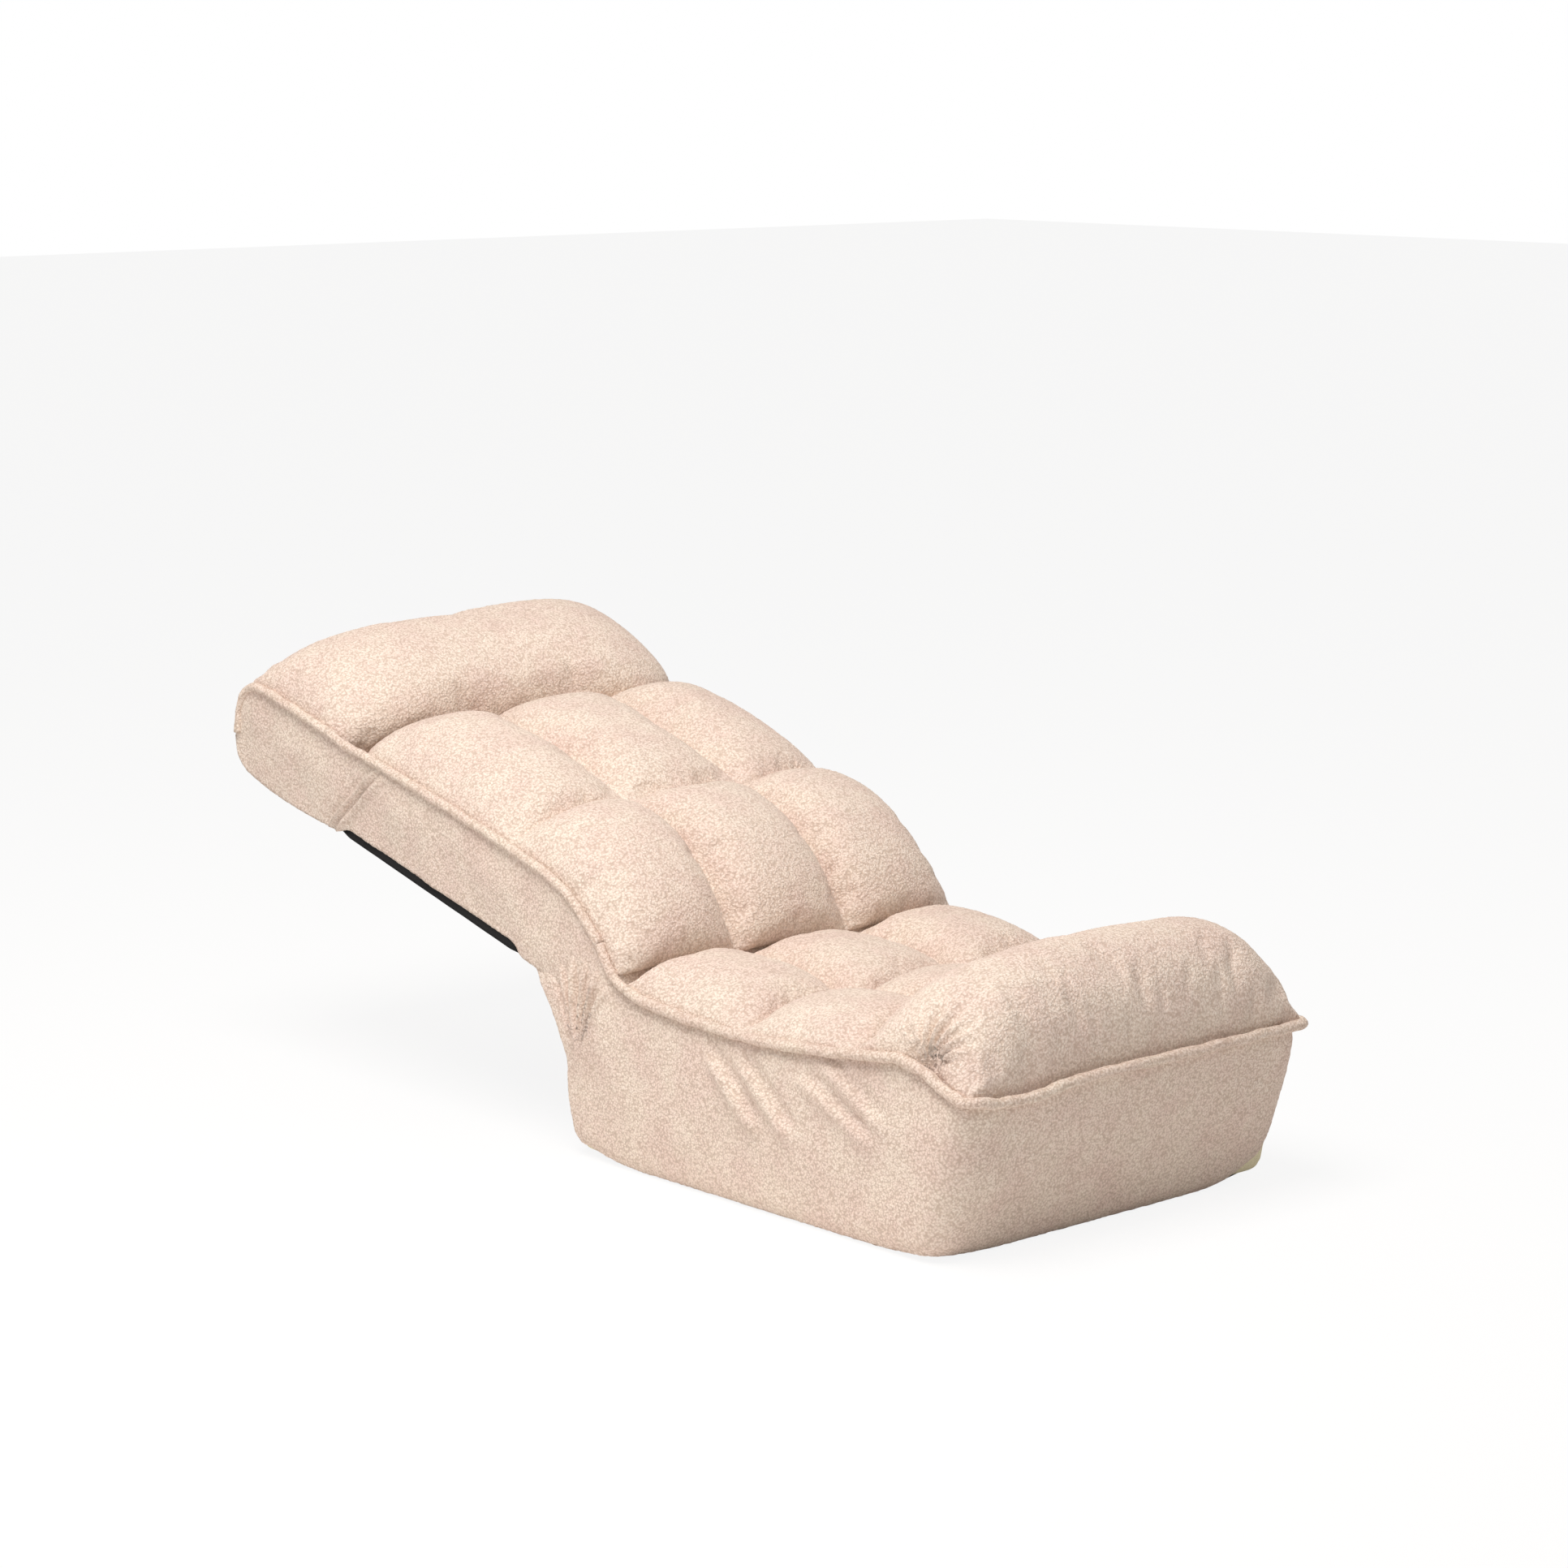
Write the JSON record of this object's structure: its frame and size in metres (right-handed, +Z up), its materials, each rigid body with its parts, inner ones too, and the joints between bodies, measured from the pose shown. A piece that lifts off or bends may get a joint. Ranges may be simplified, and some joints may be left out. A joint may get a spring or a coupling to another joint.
{
  "type": "floor chair",
  "caption": "Reclining floor chair: tufted fleece seat with a front bolster, tufted back and a head roll, on ratchet hinges, lying on a thick base.",
  "frame": {"origin": "Centre of the base's underside, on the floor.", "axes": "+Z up, +Y from the seat's front towards the head end, X across the chair; left is -X."},
  "size_m": [0.572, 1.4416, 0.5782],
  "materials": {
    "teddy_fleece": "matte",
    "black_nonwoven": "matte",
    "nonslip_cloth": "matte",
    "foam": "matte",
    "elastic_webbing": "matte",
    "powder_coated_steel": "satin",
    "zinc_steel": "satin",
    "spring_steel": "satin"
  },
  "bodies": {
    "base": {"base_bottom_cloth": "nonslip_cloth", "base_foam": "foam", "base_front_panel": "teddy_fleece", "base_rear_panel": "teddy_fleece", "base_side_panel_left": "teddy_fleece", "base_side_panel_right": "teddy_fleece", "crease_lining": "teddy_fleece", "front_bolster": "teddy_fleece", "hinge_gusset_left": "teddy_fleece", "hinge_gusset_right": "teddy_fleece", "hinge_gusset_rear": "teddy_fleece", "recline_housing_left": "zinc_steel", "recline_housing_right": "zinc_steel", "recline_pawl_spring_left": "spring_steel", "recline_pawl_spring_right": "spring_steel", "recline_pivot_left": "zinc_steel", "recline_pivot_right": "zinc_steel", "seat_crossbar": "powder_coated_steel", "seat_pad": "teddy_fleece", "seat_piping": "teddy_fleece", "seat_rail_left": "powder_coated_steel", "seat_rail_right": "powder_coated_steel", "seat_webbing_front": "elastic_webbing", "seat_webbing_rear": "elastic_webbing"},
    "back": {"back_crossbar_lower": "powder_coated_steel", "back_crossbar_upper": "powder_coated_steel", "back_foam": "foam", "back_pad": "teddy_fleece", "back_piping_left": "teddy_fleece", "back_piping_right": "teddy_fleece", "back_rail_left": "powder_coated_steel", "back_rail_right": "powder_coated_steel", "back_side_panel_left": "teddy_fleece", "back_side_panel_right": "teddy_fleece", "back_underside_cloth": "black_nonwoven", "back_webbing_lower": "elastic_webbing", "back_webbing_upper": "elastic_webbing", "recline_arm_left": "zinc_steel", "recline_arm_right": "zinc_steel", "head_gusset_left": "teddy_fleece", "head_gusset_right": "teddy_fleece", "head_housing_left": "zinc_steel", "head_housing_right": "zinc_steel", "head_pivot_left": "zinc_steel", "head_pivot_right": "zinc_steel"},
    "head": {"head_arm_left": "zinc_steel", "head_arm_right": "zinc_steel", "head_crossbar": "powder_coated_steel", "head_end_panel": "teddy_fleece", "head_foam": "foam", "head_piping": "teddy_fleece", "head_rail_left": "powder_coated_steel", "head_rail_right": "powder_coated_steel", "head_roll": "teddy_fleece", "head_side_panel_left": "teddy_fleece", "head_side_panel_right": "teddy_fleece"},
    "recline_pawl_left": {"recline_pawl_left": "zinc_steel"},
    "recline_pawl_right": {"recline_pawl_right": "zinc_steel"},
    "head_pawl_left": {"head_pawl_left": "zinc_steel"},
    "head_pawl_right": {"head_pawl_right": "zinc_steel"}
  },
  "joints": [
    {"name": "back_recline", "type": "hinge", "parent": "base", "child": "back", "pos_m": [0, 0.262, 0.222], "axis": [1, 0, 0], "range_deg": [-15.3, 74.7], "deforming": ["hinge_gusset_left", "hinge_gusset_right", "hinge_gusset_rear", "back_pad"]},
    {"name": "head_tilt", "type": "hinge", "parent": "back", "child": "head", "pos_m": [0, 0.8031, 0.37], "axis": [1, 0, 0], "range_deg": [0, 45], "deforming": ["head_gusset_left", "head_gusset_right", "back_pad"]},
    {"name": "recline_pawl_left", "type": "hinge", "parent": "base", "child": "recline_pawl_left", "pos_m": [-0.235, 0.236, 0.2005], "axis": [1, 0, 0], "range_deg": [0, 6], "stiffness_Nm_per_rad": 0.2, "deforming": ["recline_pawl_spring_left"]},
    {"name": "recline_pawl_right", "type": "hinge", "parent": "base", "child": "recline_pawl_right", "pos_m": [0.235, 0.236, 0.2005], "axis": [1, 0, 0], "range_deg": [0, 6], "stiffness_Nm_per_rad": 0.2, "deforming": ["recline_pawl_spring_right"]},
    {"name": "head_pawl_left", "type": "hinge", "parent": "back", "child": "head_pawl_left", "pos_m": [-0.235, 0.77931, 0.36041], "axis": [1, 0, 0], "range_deg": [0, 6], "stiffness_Nm_per_rad": 0.2},
    {"name": "head_pawl_right", "type": "hinge", "parent": "back", "child": "head_pawl_right", "pos_m": [0.235, 0.77931, 0.36041], "axis": [1, 0, 0], "range_deg": [0, 6], "stiffness_Nm_per_rad": 0.2}
  ],
  "couplings": [
    {"joint": "recline_pawl_right", "follows": "recline_pawl_left", "ratio": 1},
    {"joint": "head_pawl_right", "follows": "head_pawl_left", "ratio": 1}
  ]
}
